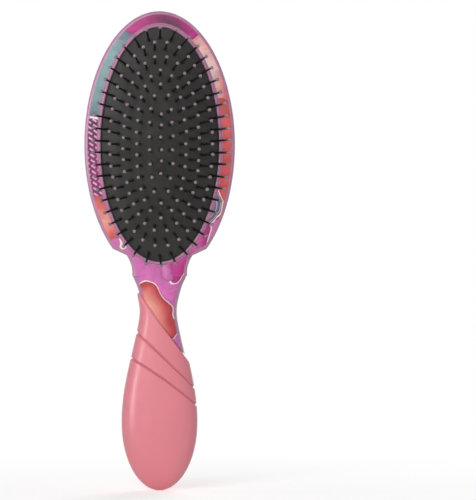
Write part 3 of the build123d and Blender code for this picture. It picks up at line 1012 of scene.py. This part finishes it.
def soft_touch(grip):
    """Soft-touch TPE overmoulding: satin, slightly mottled, with a fine blasted grain, and painted
    shade in its grooves: a deeper rose laid on by each groove's depth."""
    material, tree, shader, place = new_material(
        "soft_touch_tpe", IOR=1.5, Specular_IOR_Level=0.35
    )
    recess = add_node(tree, "ShaderNodeAttribute", attribute_name="recess").outputs["Fac"]
    unshaded_rose = mottled(tree, place, grip.rubber, spread=0.05, size=12 * MM)
    # Painted shade: a deeper rose laid into the grooves by their depth, in place of the shade that
    # falls there.
    painted_groove_shade = mottled(tree, place, grip.groove, spread=0.15, size=5 * MM)
    colour = mix_colours(tree, recess, unshaded_rose, painted_groove_shade)
    wear = worn(tree, place, low=0.28, high=0.36, size=10 * MM)
    grain = grained(tree, place, size=0.4 * MM, depth=0.03 * MM, strength=0.2)
    feed(shader, {"Base Color": colour, "Roughness": wear, "Normal": grain})
    return material


class HAIRBRUSH_OT_grip(bpy.types.Operator):
    """Makes the soft grip with its slanting grooves"""

    bl_idname = "hairbrush.grip"
    bl_label = "Grip"

    def execute(self, context):
        grip = context.scene.hairbrush_grip
        piece = grip_skin(grip)
        dress(piece, soft_touch(grip))
        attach(piece, HANDLE)
        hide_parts("grip_sleeve")
        return {"FINISHED"}


# Stage

KEY_PLACE, KEY_SIZE = Vector((0.35, 0.9, 0.5)), (0.6, 0.6)
FILL_PLACE, FILL_SIZE = Vector((0.15, 1, 0.02)), (0.6, 0.1)
SIDE_PLACE, SIDE_SIZE = Vector((1, 0.3, 0.3)), (0.5, 0.5)
STRIP_PLACE, STRIP_SIZE = Vector((-0.7, -0.4, 0.1)), (0.16, 0.6)
FLOOR_REACH = 6.0
FLOOR_FADE = (0.03, 0.3)  # the floor turns to plain white between these distances from the brush
AIM_RISE = 0.5 * MM  # of the camera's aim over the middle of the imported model


def seen_directly(tree):
    """1 where the camera, a gloss or a glass looks straight at a surface, and 0 elsewhere."""
    path = add_node(tree, "ShaderNodeLightPath").outputs
    seen = math_node(tree, "MAXIMUM", path["Is Camera Ray"], path["Is Glossy Ray"])
    return math_node(tree, "MAXIMUM", seen, path["Is Transmission Ray"])


def light_world(stage):
    world = bpy.data.worlds.new("studio")
    bpy.context.scene.world = world
    world.use_nodes = True
    tree = world.node_tree
    tree.nodes.clear()
    glow, white = (
        add_node(tree, "ShaderNodeBackground", {"Color": WHITE, "Strength": strength})
        for strength in (stage.surround, 1.0)
    )
    mixed = mix_shaders(tree, seen_directly(tree), glow, white)
    add_node(tree, "ShaderNodeOutputWorld", {"Surface": mixed})


def softbox(name, place, target, size, watts, matt=True, gloss=True):
    """A softbox that lights the matt part of the finishes, their gloss, or both."""
    lamp = bpy.data.lights.new(name, "AREA")
    lamp.shape = "RECTANGLE"
    lamp.size, lamp.size_y = size
    lamp.energy = watts
    box = link(name, lamp)
    box.location = place
    box.rotation_euler = (target - place).to_track_quat("-Z", "Y").to_euler()
    box.visible_diffuse, box.visible_glossy = matt, gloss


def lay_floor(stage, height):
    """A wide pale floor that fades to plain white far from the brush."""
    mesh = bpy.data.meshes.new("floor")
    ways = ((-1, -1), (1, -1), (1, 1), (-1, 1))
    corners = [(x * FLOOR_REACH, y * FLOOR_REACH, height) for x, y in ways]
    mesh.from_pydata(corners, [], [(0, 1, 2, 3)])
    floor = link("floor", mesh)
    material, tree, shader, place = new_material(
        "painted_floor",
        Base_Color=rgba(stage.floor),
        Roughness=0.9,
        Specular_IOR_Level=0.0,
        Emission_Color=WHITE,
    )
    dress(floor, material)
    seen = seen_directly(tree)
    feed(shader, {"Emission Strength": math_node(tree, "MULTIPLY", seen, stage.floor_lift)})
    far = map_range(tree, vector_node(tree, "LENGTH", place), *FLOOR_FADE)
    white = add_node(tree, "ShaderNodeEmission", {"Strength": 1.0})
    mixed = mix_shaders(tree, math_node(tree, "MULTIPLY", far, seen), shader, white)
    output = next(node for node in tree.nodes if node.type == "OUTPUT_MATERIAL")
    feed(output, {"Surface": mixed})


def place_camera(stage, aim, offset):
    """A long lens at the stated distance, turned so that the brush stands offset to the left."""
    turn, rise = math.radians(stage.azimuth), math.radians(stage.elevation)
    level = math.cos(rise)
    back = Vector((math.sin(turn) * level, -math.cos(turn) * level, math.sin(rise)))
    side = Vector((math.cos(turn), math.sin(turn), 0))
    data = bpy.data.cameras.new("camera")
    data.sensor_width = 36
    data.lens = data.sensor_width * stage.distance / stage.view_height
    data.clip_start, data.clip_end = 0.05, 50
    camera = link("camera", data)
    camera.location = aim + back * stage.distance
    ahead = aim + side * offset - camera.location
    camera.rotation_euler = ahead.to_track_quat("-Z", "Y").to_euler()
    bpy.context.scene.camera = camera


class HAIRBRUSH_OT_stage(bpy.types.Operator):
    """Sets the floor, the lights and the camera"""

    bl_idname = "hairbrush.stage"
    bl_label = "Stage"

    def execute(self, context):
        stage = context.scene.hairbrush_stage
        low, high = cad_box
        middle = (low + high) / 2
        context.scene.view_settings.view_transform = "Standard"
        light_world(stage)
        lay_floor(stage, low.z)
        for face, flank, way in (("front", "left", -1), ("back", "right", 1)):
            turn, flip = Vector((way, way, 1)), Vector((way, 1, 1))
            softbox(f"{face}_key", KEY_PLACE * turn, middle, KEY_SIZE, stage.key)
            softbox(f"{face}_fill", FILL_PLACE * turn, middle, FILL_SIZE, stage.fill, gloss=False)
            softbox(f"{flank}_side", SIDE_PLACE * flip, middle, SIDE_SIZE, stage.side, gloss=False)
        softbox("strip", STRIP_PLACE, middle, STRIP_SIZE, stage.strip, matt=False)
        place_camera(stage, Vector((0, 0, middle.z + AIM_RISE)), stage.offset)
        return {"FINISHED"}


class HAIRBRUSH_PT_pieces(bpy.types.Panel):
    """Lists the brush's pieces and their settings"""

    bl_label = "Hairbrush"
    bl_idname = "HAIRBRUSH_PT_pieces"
    bl_space_type = "VIEW_3D"
    bl_region_type = "UI"
    bl_category = "Hairbrush"

    def draw(self, context):
        for operator, group in STEPS:
            box = self.layout.box()
            box.operator(operator)
            settings = getattr(context.scene, group)
            for name in settings.bl_rna.properties.keys():
                if name not in ("rna_type", "name"):
                    box.prop(settings, name)


STEPS = (
    ("hairbrush.shells", "hairbrush_print"),
    ("hairbrush.bead", "hairbrush_cushion"),
    ("hairbrush.cushion", "hairbrush_cushion"),
    ("hairbrush.pins", "hairbrush_pins"),
    ("hairbrush.grip", "hairbrush_grip"),
    ("hairbrush.stage", "hairbrush_stage"),
)
GROUPS = {
    "hairbrush_print": PrintSettings,
    "hairbrush_cushion": CushionSettings,
    "hairbrush_pins": PinSettings,
    "hairbrush_grip": GripSettings,
    "hairbrush_stage": StageSettings,
}
CLASSES = (
    *GROUPS.values(),
    HAIRBRUSH_OT_shells,
    HAIRBRUSH_OT_bead,
    HAIRBRUSH_OT_cushion,
    HAIRBRUSH_OT_pins,
    HAIRBRUSH_OT_grip,
    HAIRBRUSH_OT_stage,
    HAIRBRUSH_PT_pieces,
)


def register():
    for cls in CLASSES:
        bpy.utils.register_class(cls)
    for name, group in GROUPS.items():
        setattr(bpy.types.Scene, name, PointerProperty(type=group))


def unregister():
    for name in GROUPS:
        delattr(bpy.types.Scene, name)
    for cls in reversed(CLASSES):
        bpy.utils.unregister_class(cls)


def main():
    register()
    bpy.ops.hairbrush.shells()
    bpy.ops.hairbrush.bead()
    bpy.ops.hairbrush.cushion()
    bpy.ops.hairbrush.pins()
    bpy.ops.hairbrush.grip()
    bpy.ops.hairbrush.stage()


if __name__ == "__main__":
    main()
